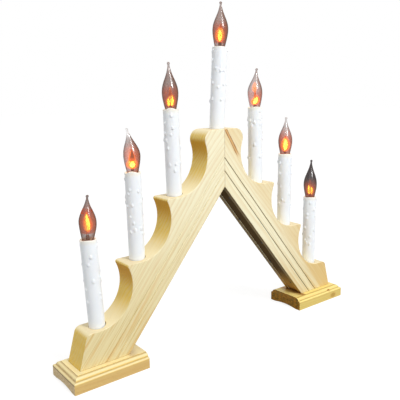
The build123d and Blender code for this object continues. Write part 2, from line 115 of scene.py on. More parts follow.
# The rim's wave of wax: how far down and round it reaches, the turn that it faces, and its ripples
WAVE_REACH = 9.0
WAVE_FULL = 0.6
WAVE_HALF = radians(52)
WAVE_TURN = atan2(-PICTURE_RIGHT.x, PICTURE_RIGHT.y)
RIPPLES = 3
RIPPLE_SHARE = 0.12
# Drips of wax on each sleeve: how many, where they start, how far down they go, their gaps and sizes
DRIPS = 30
DRIP_START = 3.5
DRIP_SPAN = 62
DRIP_CROWDING = 1.1
DRIP_GAP = 1.2
DRIP_WIDTHS = (1.1, 1.75)
DRIP_LENGTHS = (1.0, 1.3)
DRIP_STANDS = (0.85, 1.15)
DRIP_TAIL = 1.5
DRIP_FULLNESS = 0.55


class Drip(NamedTuple):
    """One drip of wax on a sleeve."""

    turn: float
    drop: float  # how far below the rim it is
    wide: float  # half its width
    tall: float  # half its length
    stand: float  # how far it stands out


class Bulb(NamedTuple):
    """One bulb's own shape, smoke and glowing gas; right is the picture's right."""

    sway: float  # how far the belly sits to the right
    drift: float  # how much further the tip bends to the right
    tall: float
    smoke_low: float
    smoke_high: float
    smoke_tip: float
    gas_low: float
    gas_high: float
    gas: float
    side: float  # how much stronger smoke and gas are to the right
    bare: float  # how much thinner the gas is in front of the plates


BULBS = (
    Bulb(1.4, 2.4, 44.2, 0.48, 0.52, 0.60, 7.0, 37.0, 0.57, 0.0, 0.0),
    Bulb(0.0, -4.4, 44.6, 0.36, 0.40, 0.10, 1.0, 34.0, 0.52, 0.45, 0.95),
    Bulb(0.0, -0.6, 48.0, 0.52, 0.55, 0.40, 1.0, 28.0, 0.57, 0.1, 0.0),
    Bulb(0.0, -0.8, 46.4, 0.50, 0.50, 0.50, 3.0, 30.0, 0.57, 0.2, 0.0),
    Bulb(0.0, 2.2, 44.6, 0.22, 0.32, 0.40, 1.0, 25.0, 0.42, 0.3, 0.3),
    Bulb(0.0, 0.4, 46.2, 0.38, 0.30, 0.20, 1.0, 35.0, 0.52, -0.1, 0.3),
    Bulb(0.0, 0.8, 49.6, 0.58, 0.80, 0.86, 1.0, 26.0, 0.64, 0.0, 0.0),
)
# Bulb glass: radius and height of its line above the rim, its tip's pip, and its neck inside the sleeve
GLASS_LINE = (
    (5.9, 0.0),
    (7.0, 4.8),
    (8.15, 10.8),
    (8.65, 16.5),
    (8.15, 21.8),
    (6.6, 27.0),
    (4.5, 32.0),
    (2.85, 36.2),
    (1.8, 39.8),
    (1.2, 42.3),
    (1.0, 44.3),
)
GLASS_STEPS = 6
BULB_TOP = 47.0
BULB_SIDES = 56
BELLY = 16.5
SWAY_FOOT = -4.0
DRIFT_CURVE = 1.7
PIP_RADIUS = 1.5
PIP_START = -48
PIP_SWEEP = 136
PIP_STEPS = 10
NECK_RADIUS = 4.0
NECK_BOTTOM = -13.8
NECK_TOP = -7.8
NECK_EDGE = 0.3
NECK_FLARE = ((4.5, -5.0), (5.3, -2.0))
# Heights between which the smoke changes from its low to its high strength, and on to the tip's
SMOKE_CHANGE = (12, 26)
TIP_CHANGE = (33, 42)
# The stem inside a bulb: radius and height of its line
STEM_TOP = 4.0
STEM_SIDES = 24
STEM_LINE = (
    (1.9, NECK_BOTTOM + 0.5),
    (1.9, STEM_TOP - 1.0),
    (1.7, STEM_TOP - 0.4),
    (1.1, STEM_TOP - 0.1),
    (0.3, STEM_TOP),
)


class Flame(NamedTuple):
    """One flame in a bulb; right is the picture's right."""

    foot: float
    top: float
    half: float  # half its width
    offset: float  # how far its foot sits to the right
    lean: float  # how much further its top sits to the right
    heat: float  # how well it burns


FLAMES = (
    (Flame(8.0, 26.5, 2.2, 0.5, -1.2, 1.0),),
    (Flame(4.5, 12.5, 2.9, 0.0, 0.0, 1.0), Flame(9.0, 27.0, 3.2, 0.4, -0.8, 0.12)),
    (Flame(3.5, 15.0, 1.9, 1.5, 0.4, 1.0), Flame(3.5, 12.0, 1.5, -1.6, -0.6, 0.9)),
    (Flame(4.5, 20.0, 2.6, 0.0, -0.6, 1.0),),
    (Flame(3.5, 12.5, 2.4, -0.6, 3.0, 1.0), Flame(18.0, 29.0, 1.5, -0.6, 0.0, 0.4)),
    (Flame(4.5, 21.5, 2.8, 0.0, 0.6, 1.0),),
    (Flame(3.5, 14.0, 1.9, 1.6, 0.4, 1.0), Flame(3.5, 17.0, 1.6, -1.2, -0.6, 0.9)),
)
# A flame that burns no better than this is an ember, without a bright core or a lit plate
EMBER_HEAT = 0.5
# Lengths over which a plate's light comes up at a flame's foot and goes out at its top
KINDLING = 2
DYING = 4
# Flames: the share of the glass they may fill, how low their belly is, how blunt their ends are, how
# much a swollen one grows down and in all, and the shares of its height over which it fades
FLAME_STEPS = 24
FLAME_SIDES = 32
FLAME_SHARE = 0.9
FLAME_BELLY = 0.7
FLAME_BLUNT = 0.015
FLAME_DOWN = 0.5
FLAME_GROWTH = 1.5
FLAME_FADE = (0.6, 1.05)
# Gas: the share of the glass it fills, where and how fast it closes in, and where it starts and fades
VEIL_SIDES = 40
VEIL_SHARE = 0.94
VEIL_CROWN = 0.7
VEIL_CLOSING = 0.0905
VEIL_START = (-0.35, 0.2)
VEIL_FADE = (0.5, 1.0)

# Flame plates: two in each bulb, on legs, each bulb's pair turned further round. A plate has a low belly,
# thins towards its edges and is a little lit along them.
TURN_PER_BULB = 83.0
PLATE_FOOT = 6.5
PLATE_TIP = 23.0
PLATE_HALF_WIDTH = 3.4
PLATE_LEAST_HALF = 0.12
PLATE_BELLY = 0.62
PLATE_FULLNESS = 0.9
PLATE_HALF_THICKNESS = 0.25
PLATE_THINNING = 0.4
PLATE_EDGE_LIGHT = 0.4
PLATE_GAP = 1.4
PLATE_ACROSS = (-1.0, -0.7, -0.35, 0.0, 0.35, 0.7, 1.0)
LEG_RADIUS = 0.35
LEG_SIDES = 12
LEG_HEIGHTS = (STEM_TOP - 0.5, 6.0, 9.0, 11.5)


class Tone:
    """A shader socket that takes arithmetic: each step adds the Math node that it needs."""

    def __init__(self, finish, socket):
        self.finish = finish
        self.socket = socket

    def step(self, operation, *terms):
        return self.finish.node("ShaderNodeMath", {"operation": operation}, dict(enumerate(terms)))[0]

    def __add__(self, other):
        return self.step("ADD", self, other)

    __radd__ = __add__

    def __sub__(self, other):
        return self.step("SUBTRACT", self, other)

    def __rsub__(self, other):
        return self.step("SUBTRACT", other, self)

    def __mul__(self, other):
        return self.step("MULTIPLY", self, other)

    __rmul__ = __mul__

    def __truediv__(self, other):
        return self.step("DIVIDE", self, other)

    def __rtruediv__(self, other):
        return self.step("DIVIDE", other, self)

    def __pow__(self, other):
        return self.step("POWER", self, other)

    def __abs__(self):
        return self.step("ABSOLUTE", self)

    def fraction(self):
        return self.step("FRACT", self)

    def rise(self, low, high):
        """A soft step from 0 at low to 1 at high."""
        settings = {"interpolation_type": "SMOOTHSTEP"}
        sockets = {"Value": self, "From Min": low, "From Max": high}
        return self.finish.node("ShaderNodeMapRange", settings, sockets)["Result"]

    def band(self, middle, half):
        """A soft band: 1 at the middle, 0 beyond the half width."""
        return 1 - abs(self - middle).rise(0.0, half)


class Outlets:
    """A node's outputs, by name or number, ready for arithmetic."""

    def __init__(self, finish, made):
        self.finish = finish
        self.made = made

    def __getitem__(self, key):
        return Tone(self.finish, self.made.outputs[key])


class Finish:
    """One material, or the studio's world, and the nodes that make it."""

    def __init__(self, name, kind=bpy.data.materials):
        self.owner = kind.new(name)
        self.owner.use_nodes = True
        self.tree = self.owner.node_tree
        self.tree.nodes.clear()

    def node(self, kind, settings=None, sockets=None):
        """Any node: its settings first, then the values and links of its sockets."""
        made = self.tree.nodes.new(kind)
        for name, value in (settings or {}).items():
            setattr(made, name, value)
        for key, value in (sockets or {}).items():
            if isinstance(value, Tone):
                self.tree.links.new(value.socket, made.inputs[key])
            else:
                made.inputs[key].default_value = value
        return Outlets(self, made)

    def place(self):
        return self.node("ShaderNodeTexCoord")["Object"]

    def facing(self):
        return self.node("ShaderNodeNewGeometry")["Normal"]

    def dot(self, vector, axis):
        sockets = {0: vector, 1: axis}
        return self.node("ShaderNodeVectorMath", {"operation": "DOT_PRODUCT"}, sockets)["Value"]

    def vector(self, x, y, z):
        return self.node("ShaderNodeCombineXYZ", {}, {0: x, 1: y, 2: z})[0]

    def stretch(self, vector, factors):
        return self.node("ShaderNodeVectorMath", {"operation": "MULTIPLY"}, {0: vector, 1: factors})[0]

    def noise(self, vector, scale=1.0, detail=2.0, rough=0.5):
        sockets = {"Vector": vector, "Scale": scale, "Detail": detail, "Roughness": rough}
        return self.node("ShaderNodeTexNoise", {}, sockets)["Fac"]

    def mark(self, name):
        """A value that the mesh carries at its points."""
        return self.node("ShaderNodeAttribute", {"attribute_name": name})["Fac"]

    def mix(self, share, first, second):
        return self.node("ShaderNodeMix", {"data_type": "RGBA"}, {0: share, 6: first, 7: second})[2]

    def bump(self, height, depth):
        return self.node("ShaderNodeBump", {}, {"Height": height, "Distance": depth})["Normal"]

    def principled(self, **sockets):
        named = {name.replace("_", " "): value for name, value in sockets.items()}
        return self.node("ShaderNodeBsdfPrincipled", {}, named)["BSDF"]

    def blend(self, share, first, second):
        """A surface between two others."""
        return self.node("ShaderNodeMixShader", {}, {0: share, 1: first, 2: second})[0]

    def seen(self):
        """1 for what the camera sees, also in gloss and through glass, and 0 for other light."""
        path = self.node("ShaderNodeLightPath")
        return path["Is Camera Ray"] + path["Is Glossy Ray"] + path["Is Transmission Ray"]

    def close(self, surface, outlet="ShaderNodeOutputMaterial"):
        self.node(outlet, {}, {"Surface": surface})
        return self.owner


def paint(red, green, blue):
    """A colour as a screen shows it, 0 to 255, in the values that shaders take."""
    shares = [value / 255 for value in (red, green, blue)]
    light = [s / 12.92 if s <= 0.04045 else ((s + 0.055) / 1.055) ** 2.4 for s in shares]
    return (*light, 1.0)


def pine(name, along, across, heart, colours, streaks, details):
    """Sawn and lacquered pine: growth rings round a heart line, fibres, flecks and darker end grain."""
    early, late, tan, side = colours
    finish = Finish(name)
    place = finish.place()
    facing = finish.facing()
    length = finish.dot(place, along)
    width = finish.dot(place, across)
    depth = finish.dot(place, BACKWARDS)
    wood = finish.vector(length, width, depth)
    wander = finish.noise(finish.stretch(wood, (6, 26, 26)))
    ripple = finish.noise(finish.stretch(wood, (28, 160, 160)))
    off_width = width - heart[0]
    off_depth = depth - heart[1]
    away = (off_width * off_width + off_depth * off_depth) ** 0.5
    away = away + (wander - 0.5) * 0.016 + (ripple - 0.5) * 0.0016
    spread = finish.noise(finish.vector(away, 0.0, 0.0), 70.0)
    year = (away / (GROWTH_RING * MM) + spread * 2.2).fraction()
    lines = year.rise(0.35, 0.9) * (1 - year.rise(0.9, 1.0))
    fibre = finish.noise(finish.stretch(wood, (12, 800, 800)), 1.0, 3.0, 0.6)
    fleck = finish.noise(finish.stretch(wood, (70, 2400, 2400)), 1.0, 1.0)
    broad = finish.noise(finish.stretch(wood, (3.2, 34, 34)), 1.0, 2.0)
    colour = finish.mix(lines * 0.3, early, late)
    colour = finish.mix(broad.rise(0.48, 0.72) * 0.4, colour, tan)
    colour = finish.mix(fibre.rise(0.5, 0.74) * 0.3, colour, tan)
    colour = finish.mix(fleck.rise(0.62, 0.76) * 0.3, colour, late)
    colour = streaks(finish, colour, place, length, width, fibre)
    # Faces turned from front and back take the side tone: partly the edge grain's own colour, partly
    # painted shade on the sides.
    turned = 1 - abs(finish.dot(facing, BACKWARDS))
    ends = abs(finish.dot(facing, along))
    colour = finish.mix(turned.rise(0.2, 0.95) * (0.75 + lines * 0.2), colour, side)
    colour, dull = details(finish, colour, place, facing, width, fibre)
    rough = 0.36 + fibre * 0.16 + ends * 0.1
    bump = finish.bump(fibre * 0.7 + lines * 0.5, 0.00012)
    coat = (0.35 - ends.rise(0.3, 0.9) * 0.35) * (1 - dull)
    surface = finish.principled(
        Base_Color=colour, Roughness=rough, Normal=bump, Coat_Weight=coat, Coat_Roughness=0.25,
        Specular_IOR_Level=0.08,
    )
    return finish.close(surface)


def left_arm_streaks(finish, colour, place, length, width, fibre):
    """A deeper tone and warmer streaks low on the left arm, and the dark hairline of the mitre."""
    height = finish.dot(place, UPWARDS)
    low = 1 - height.rise(0.03, 0.15)
    deep = 1 - height.rise(0.02, 0.21)
    warm = finish.noise(finish.stretch(finish.vector(length, width, 0.0), (9, 190, 1)), 1.0, 2.0)
    colour = finish.mix(deep * 0.58, colour, paint(224, 202, 132))
    colour = finish.mix(deep * fibre.rise(0.5, 0.68) * 0.45, colour, paint(200, 166, 88))
    colour = finish.mix(warm.rise(0.5, 0.66) * (0.12 + low * 0.4), colour, paint(220, 176, 100))
    return mitre_hairline(finish, colour, place)


def right_arm_streaks(finish, colour, place, length, width, fibre):
    """A brown-edged streak under the right arm's top, warmth towards the foot, and the mitre's hairline."""
    height = finish.dot(place, UPWARDS)
    low = 1 - height.rise(0.02, 0.16)
    lowest = 1 - height.rise(0.02, 0.11)
    outer = (width - UNDERSIDE * MM).rise(0.022, 0.04)
    warm = finish.noise(finish.stretch(finish.vector(length, width, 0.0), (7, 150, 1)), 1.0, 2.0)
    colour = finish.mix(lowest * 0.35, colour, paint(222, 198, 128))
    colour = finish.mix(outer * (0.35 + low * 0.45), colour, paint(226, 190, 116))
    colour = finish.mix(warm.rise(0.46, 0.66) * (0.12 + low * 0.3), colour, paint(222, 180, 98))
    off = width + length * STREAK_SLOPE + (fibre - 0.5) * 0.0016 - STREAK_PLACE * MM
    streak = off.band(0.0, 0.0026)
    edges = off.band(0.0014, 0.0009) + off.band(-0.0014, 0.0009)
    high = 1 - length.rise(-0.158, -0.146)
    colour = finish.mix(high * streak * 0.8, colour, paint(212, 154, 78))
    colour = finish.mix(high * edges * 0.85, colour, paint(150, 86, 28))
    return mitre_hairline(finish, colour, place)


def mitre_hairline(finish, colour, place):
    """The glue line where the two arms meet."""
    line = finish.dot(place, SIDEWAYS).band(0.0, 0.0006)
    return finish.mix(line * 0.55, colour, paint(150, 104, 52))


def underside(finish, place, dark):
    """The underside's colour, with painted golden bounce light above the foot and a painted brown contact
    shadow where it meets it.
    """
    height = finish.dot(place, UPWARDS)
    # Painted bounce light from the foot, golden low on the underside.
    foot_bounce_lit = finish.mix((1 - height.rise(0.022, 0.058)) * 0.85, dark, paint(190, 144, 72))
    # Painted contact shadow, brown where the underside meets the foot.
    return finish.mix((1 - height.rise(0.017, 0.0225)) * 0.75, foot_bounce_lit, paint(92, 52, 10))


def arm_details(along, line_shade):
    """Golden end grain, upward faces paled as painted light, painted shade in the two face lines, a painted
    contact shadow along the foot's top, and a dull underside darkened as painted shade.
    """

    def details(finish, colour, place, facing, width, fibre):
        ends = abs(finish.dot(facing, along)).rise(0.4, 0.85)
        colour = finish.mix(ends * (0.7 + fibre * 0.3), colour, paint(198, 140, 16))
        # Upward faces are paled towards cream: a painted highlight where the light falls from above.
        up = finish.dot(facing, UPWARDS).rise(0.35, 0.95)
        colour = finish.mix(up * 0.75, colour, paint(252, 242, 206))
        inwards = finish.dot(place, BACKWARDS) + BOARD_HALF * MM
        groove = inwards.rise(0.00005, 0.0004) * (1 - inwards.rise(0.0012, 0.0016))
        # Painted shade in the two face-line grooves, stronger on the right arm, where the light crosses
        # them.
        for depth in FACE_LINES:
            line = (width - (UNDERSIDE + depth) * MM).band(0.0, 0.001)
            colour = finish.mix(line * groove * line_shade, colour, paint(96, 76, 30))
        # A painted contact shadow along the line where the arm meets the foot's top.
        foot_contact_shade = finish.dot(place, UPWARDS).band(FOOT_TOP * MM, 0.0008)
        colour = finish.mix(foot_contact_shade * 0.5, colour, paint(128, 92, 40))
        # The underside is darkened as painted shade, with painted bounce light and a painted contact shadow
        # near the foot.
        under = (UNDERSIDE * MM + 0.0004 - width).rise(0.0, 0.0003)
        return finish.mix(under * 0.9, colour, underside(finish, place, paint(92, 68, 22))), under

    return details


def foot_details(shaded_face_colour, lit_top_colour, end_light, end_dark, bead_shade, stain_and_shade):
    """A foot's upright face darkened and its upward faces brightened as painted light, sawn ends, and
    painted shade on the bead, the ledges and the top beside the arm.
    """

    def details(finish, colour, place, facing, width, fibre):
        height = finish.dot(place, UPWARDS)
        aside = abs(finish.dot(place, SIDEWAYS)) - ARM_HEEL * MM
        up = finish.dot(facing, UPWARDS).rise(0.1, 0.7)
        face = (1 - height.rise(FOOT_FACE * MM, FOOT_FACE * MM + 0.0008)) * (1 - up)
        # Upward faces take the lit top colour and the upright face the shaded face colour: painted light
        # and painted shade.
        colour = finish.mix(up * 0.55, colour, lit_top_colour)
        colour = finish.mix(face * (0.45 + fibre * 0.3), colour, shaded_face_colour)
        # Painted shadow, warm brown, on the foot's top beside the arm.
        on_top = (height - FOOT_TOP * MM).rise(-0.0006, -0.0002)
        by_arm = aside.rise(-0.011, -0.001) * (1 - aside.rise(0.0, 0.004))
        colour = finish.mix(on_top * by_arm * stain_and_shade, colour, paint(148, 84, 4))
        sawn = abs(finish.dot(facing, SIDEWAYS)).rise(0.85, 0.97)
        mottle = finish.noise(finish.stretch(place, (60, 260, 420)), 1.0, 2.0)
        end_tone = finish.mix(mottle.rise(0.4, 0.62), end_light, end_dark)
        colour = finish.mix(sawn * (0.75 + fibre * 0.25), colour, end_tone)
        # Painted shade in a line under the bead on the sawn ends.
        bead = sawn * height.band(FOOT_FACE * MM, 0.0008)
        colour = finish.mix(bead * bead_shade, colour, paint(84, 48, 16))
        # Painted shade along the moulding's ledges.
        for ledge in FOOT_LEDGES:
            colour = finish.mix(height.band(ledge * MM, 0.0005) * 0.5, colour, paint(150, 108, 40))
        return colour, sawn

    return details


def foot_knots(spots):
    """Knots in a foot's front, each at a place along it and a height, with a size."""

    def streaks(finish, colour, place, length, width, fibre):
        front = 1 - finish.dot(place, BACKWARDS).rise(-0.024, -0.018)
        for x, z, size in spots:
            x_off = (finish.dot(place, SIDEWAYS) - x * MM) / (KNOT_STRETCH * size * MM)
            z_off = (finish.dot(place, UPWARDS) - z * MM) / (size * MM)
            away = (x_off * x_off + z_off * z_off) ** 0.5 + (fibre - 0.5) * 0.5
            colour = finish.mix((1 - away.rise(0.5, 1.7)) * front * 0.95, colour, paint(206, 118, 22))
            colour = finish.mix(away.band(0.62, 0.3) * front * 0.8, colour, paint(120, 52, 6))
            colour = finish.mix((1 - away.rise(0.1, 0.5)) * front * 0.8, colour, paint(112, 52, 10))
        return colour

    return streaks


def hardboard():
    """Dark pressed board: fine fibres without direction over an olive brown."""
    finish = Finish("dark_hardboard")
    place = finish.place()
    felt = finish.noise(finish.stretch(place, (900, 1400, 900)), 1.0, 4.0, 0.65)
    cloud = finish.noise(place, 40.0, 2.0)
    colour = finish.mix(felt.rise(0.35, 0.7), paint(70, 53, 26), paint(106, 83, 50))
    colour = finish.mix(cloud.rise(0.45, 0.7) * 0.4, colour, paint(76, 58, 38))
    # Near the foot, the underside's painted golden bounce light and painted brown contact shadow.
    colour = underside(finish, place, colour)
    bump = finish.bump(felt, 0.0001)
    surface = finish.principled(
        Base_Color=colour, Roughness=0.75 + felt * 0.2, Normal=bump, Specular_IOR_Level=0.05
    )
    return finish.close(surface)


def sleeve_plastic():
    """White moulded plastic, faintly clouded and creamier at the rim, with a painted glow of the bulb
    inside the bore.
    """
    finish = Finish("candle_plastic")
    place = finish.place()
    height = finish.dot(place, UPWARDS)
    cloud = finish.noise(finish.stretch(place, (160, 160, 50)), 1.0, 3.0)
    grain = finish.noise(place, 1900.0, 2.0)
    colour = finish.mix(cloud.rise(0.4, 0.7) * 0.5, paint(248, 252, 255), paint(243, 247, 253))
    colour = finish.mix(height.rise(-0.006, 0.0) * 0.7, colour, paint(252, 247, 232))
    inside = finish.mark("inside")
    # The bore takes a warm cream-pink tone, a painted reflection of the bulb's glow.
    colour = finish.mix(inside * 0.55, colour, paint(244, 222, 198))
    # Painted glow: the bore near the rim emits as if lit by the bulb.
    light = inside * height.rise(-0.009, 0.0)
    through = finish.mix(light, (0.0, 0.0, 0.0, 1.0), (0.55, 0.46, 0.37, 1.0))
    bump = finish.bump(grain * 0.4 + cloud, 0.00006)
    surface = finish.principled(
        Base_Color=colour, Roughness=0.3 + cloud * 0.14, Normal=bump, Subsurface_Weight=0.12,
        Subsurface_Radius=(1.0, 0.85, 0.7), Subsurface_Scale=0.002, Emission_Color=through,
        Emission_Strength=0.8, Specular_IOR_Level=0.2,
    )
    return finish.close(surface)


def moulding():
    """Dark mottled lampholder moulding."""
    finish = Finish("lampholder_moulding")
    place = finish.place()
    mottle = finish.noise(place, 420.0, 4.0, 0.6)
    colour = finish.mix(mottle.rise(0.4, 0.65), paint(38, 26, 22), paint(70, 48, 38))
    bump = finish.bump(mottle, 0.00008)
    return finish.close(finish.principled(Base_Color=colour, Roughness=0.32 + mottle * 0.2, Normal=bump))


def metal(name, bright, dull, rough, scale):
    """Worked metal: a bright and a dull tone, fine rub marks and soft dents."""
    finish = Finish(name)
    place = finish.place()
    rub = finish.noise(finish.stretch(place, (scale, scale, 5 * scale)), 1.0, 3.0, 0.6)
    stain_and_shade = finish.noise(place, 240.0, 2.0)
    colour = finish.mix(stain_and_shade.rise(0.4, 0.7) * 0.7, bright, dull)
    bump = finish.bump(rub, 0.00004)
    surface = finish.principled(Base_Color=colour, Metallic=1.0, Roughness=rough + rub * 0.22, Normal=bump)
    return finish.close(surface)


def plug_ceramic():
    """Black glassy insulator with fine grey specks."""
    finish = Finish("contact_plug_glass")
    place = finish.place()
    speck = finish.noise(place, 1500.0, 3.0)
    colour = finish.mix(speck.rise(0.45, 0.7), paint(26, 24, 26), paint(66, 62, 62))
    bump = finish.bump(speck, 0.00005)
    return finish.close(finish.principled(Base_Color=colour, Roughness=0.18 + speck * 0.2, Normal=bump))


def wire_plastic():
    """Soft insulation, off white and a little uneven."""
    finish = Finish("wire_insulation")
    place = finish.place()
    uneven = finish.noise(place, 300.0, 3.0)
    colour = finish.mix(uneven.rise(0.35, 0.7), paint(222, 212, 190), paint(196, 180, 150))
    bump = finish.bump(uneven, 0.0001)
    return finish.close(finish.principled(Base_Color=colour, Roughness=0.42 + uneven * 0.15, Normal=bump))


def grommet_rubber():
    """Grey-black rubber with a fine matt grain."""
    finish = Finish("grommet_rubber")
    place = finish.place()
    grain = finish.noise(place, 1300.0, 3.0)
    colour = finish.mix(grain.rise(0.35, 0.7), paint(34, 33, 34), paint(62, 60, 60))
    bump = finish.bump(grain, 0.00007)
    return finish.close(finish.principled(Base_Color=colour, Roughness=0.6 + grain * 0.2, Normal=bump))


def dowel_beech():
    """Pale beech with short darker flecks along the dowel."""
    finish = Finish("dowel_beech")
    place = finish.place()
    fleck = finish.noise(finish.stretch(place, (160, 1500, 1500)), 1.0, 2.0)
    colour = finish.mix(fleck.rise(0.45, 0.7), paint(226, 196, 152), paint(176, 132, 88))
    bump = finish.bump(fleck, 0.0001)
    return finish.close(finish.principled(Base_Color=colour, Roughness=0.5 + fleck * 0.2, Normal=bump))


def smoky_glass():
    """Thin smoky glass: clear in the middle, grey brown when seen edge on, blackened where marked."""
    finish = Finish("smoky_bulb_glass")
    place = finish.place()
    smoke = finish.mark("smoke")
    edge = finish.node("ShaderNodeLayerWeight", {}, {"Blend": 0.42})["Facing"]
    cloud = finish.noise(finish.stretch(place, (260, 260, 90)), 1.0, 3.0)
    colour = finish.mix(smoke.rise(0.45, 0.8), paint(128, 76, 46), paint(50, 34, 32))
    colour = finish.mix(edge.rise(0.35, 0.9), colour, paint(66, 44, 36))
    body = smoke * (0.85 + cloud * 0.3) + edge ** 1.4 * smoke.rise(0.0, 0.28) * 0.9
    haze = finish.principled(
        Base_Color=colour, Roughness=0.3 + cloud * 0.1, Alpha=body, Specular_IOR_Level=0.0
    )
    gloss = finish.node("ShaderNodeBsdfGlossy", {}, {"Color": (1, 1, 1, 1), "Roughness": 0.18})["BSDF"]
    outside = 1 - finish.node("ShaderNodeNewGeometry")["Backfacing"]
    return finish.close(finish.blend((0.05 + edge ** 3.0 * 0.1) * outside, haze, gloss))


def stem_glass():
    """The dark pressed stem inside a bulb."""
    finish = Finish("bulb_stem_glass")
    place = finish.place()
    streak = finish.noise(finish.stretch(place, (700, 700, 200)), 1.0, 2.0)
    colour = finish.mix(streak.rise(0.35, 0.7), paint(70, 34, 26), paint(128, 96, 88))
    return finish.close(finish.principled(Base_Color=colour, Roughness=0.15 + streak * 0.2))


def flame_plate():
    """A metal plate that glows yellow where it is lit and is dark red brown where it isn't."""
    finish = Finish("flame_plate")
    place = finish.place()
    lit = finish.mark("lit")
    flicker = finish.noise(place, 500.0, 2.0)
    heat = lit * (0.8 + flicker * 0.4)
    colour = finish.mix(flicker.rise(0.4, 0.7), paint(74, 24, 8), paint(44, 14, 6))
    glow = finish.mix(heat.rise(0.0, 0.45), (0.0, 0.0, 0.0, 1.0), (0.85, 0.12, 0.01, 1.0))
    glow = finish.mix(heat.rise(0.3, 0.85), glow, (1.0, 0.72, 0.12, 1.0))
    surface = finish.principled(
        Base_Color=colour, Roughness=0.5 + flicker * 0.2, Emission_Color=glow, Emission_Strength=3.0
    )
    return finish.close(surface)


def flame_glow(name, cool, hot, strength):
    """The glowing gas round the plates, see-through, in two tones that flicker."""
    finish = Finish(name)
    place = finish.place()
    veil = finish.mark("veil")
    flicker = finish.noise(finish.stretch(place, (260, 260, 120)), 1.0, 2.0)
    glow = finish.mix(flicker.rise(0.3, 0.7), cool, hot)
    surface = finish.principled(
        Base_Color=(0.02, 0.01, 0.01, 1.0), Roughness=0.9, Specular_IOR_Level=0.0,
        Alpha=veil * (0.8 + flicker * 0.4), Emission_Color=glow, Emission_Strength=strength,
    )
    return finish.close(surface)


def add_object(name, data):
    """An object in the scene."""
    made = bpy.data.objects.new(name, data)
    bpy.context.scene.collection.objects.link(made)
    return made


def make_piece(name, rows, material, matrix, marks=None, loop=False):
    """A mesh through closed rings of points, capped at both ends or looped from the last to the first."""
    count = len(rows[0])
    points = [Vector(point) * MM for row in rows for point in row]
    faces = []
    for row in range(len(rows) if loop else len(rows) - 1):
        low = row * count
        high = (row + 1) % len(rows) * count
        for side in range(count):
            following = (side + 1) % count
            faces.append((low + side, low + following, high + following, high + side))
    if not loop:
        faces.append(tuple(reversed(range(count))))
        faces.append(tuple(range((len(rows) - 1) * count, len(rows) * count)))
    mesh = bpy.data.meshes.new(name)
    mesh.from_pydata(points, [], faces)
    mesh.polygons.foreach_set("use_smooth", [True] * len(mesh.polygons))
    for mark, values in (marks or {}).items():
        field = mesh.attributes.new(mark, "FLOAT", "POINT")
        field.data.foreach_set("value", values)
    mesh.materials.append(material)
    mesh.validate()
    made = add_object(name, mesh)
    made.matrix_world = matrix
    return made


def join(name, parts):
    """One piece out of several, which keep their materials and marks."""
    with bpy.context.temp_override(
        active_object=parts[0], selected_editable_objects=parts, selected_objects=parts
    ):
        bpy.ops.object.join()
    parts[0].name = name
    parts[0].data.name = name
    return parts[0]


def ring(radius, height, count, centre=(0.0, 0.0)):
    """A level ring of points."""
    turns = [2 * pi * step / count for step in range(count)]
    return [(centre[0] + radius * cos(turn), centre[1] + radius * sin(turn), height) for turn in turns]


def between(before, start, end, after, share):
    """A value on the way from start to end, on a smooth curve through its neighbours too."""
    square = 2 * before - 5 * start + 4 * end - after
    cube = 3 * start - before - 3 * end + after
    return 0.5 * (2 * start + (end - before) * share + square * share**2 + cube * share**3)


def fair(points, steps):
    """A smooth line through (radius, height) points."""
    line = []
    padded = [points[0], *points, points[-1]]
    for stretch in zip(padded, padded[1:], padded[2:], padded[3:]):
        for step in range(steps):
            line.append(tuple(between(*values, step / steps) for values in zip(*stretch)))
    return line + [points[-1]]


def soft(value, low, high):
    """0 at low, 1 at high, smooth between."""
    share = min(max((value - low) / (high - low), 0.0), 1.0)
    return share * share * (3 - 2 * share)


def candle_matrix(candle):
    """A candle's place: its rim is the level plane and its axis stands up, with the candle's lean."""
    seat = Matrix.Translation((candle.x * MM, 0, (candle.z - SEAT_HALF) * MM))
    rim = Matrix.Translation((0, 0, (RIM_RISE + candle.stand) * MM))
    return seat @ Matrix.Rotation(radians(candle.lean), 4, "Y") @ rim


def drips(dice):
    """One candle's drips, scattered without touching."""
    found = []
    while len(found) < DRIPS:
        turn = dice.uniform(0, 2 * pi)
        drop = DRIP_START + DRIP_SPAN * dice.random() ** DRIP_CROWDING
        wide = dice.uniform(*DRIP_WIDTHS)
        gaps = []
        for other in found:
            across = SLEEVE_RADIUS * sin((turn - other.turn) / 2) * 2
            gaps.append((across**2 + (drop - other.drop) ** 2) ** 0.5 - wide - other.wide)
        if all(gap > DRIP_GAP for gap in gaps):
            tall = wide * dice.uniform(*DRIP_LENGTHS)
            found.append(Drip(turn, drop, wide, tall, dice.uniform(*DRIP_STANDS)))
    return found


def drip_stand(beads, turn, height):
    """How far the drips stand out at a place on a sleeve."""
    stand = 0.0
    for bead in beads:
        across = SLEEVE_RADIUS * 2 * sin((turn - bead.turn) / 2) / bead.wide
        up = height + bead.drop
        up = up / (bead.tall * DRIP_TAIL) if up > 0 else up / bead.tall
        away = across * across + up * up
        if away < 1:
            stand = max(stand, bead.stand * (1 - away) ** DRIP_FULLNESS)
    return stand


def wave_ring(radius, height, candle):
    """A ring of a sleeve, its radius worked out turn by turn, that follows the rim's wave and drop."""
    near_rim = soft(height, -WAVE_REACH, -WAVE_FULL)
    row = []
    for step in range(SLEEVE_SIDES):
        turn = 2 * pi * step / SLEEVE_SIDES
        off = abs((turn - WAVE_TURN + pi) % (2 * pi) - pi) / WAVE_HALF
        wave = 1 - soft(off, 0.0, 1.0) + RIPPLE_SHARE * sin(RIPPLES * turn + candle.wave)
        level = height + near_rim * (candle.wave * wave - candle.drop)
        out = radius(turn)
        row.append((out * cos(turn), out * sin(turn), level))
    return row


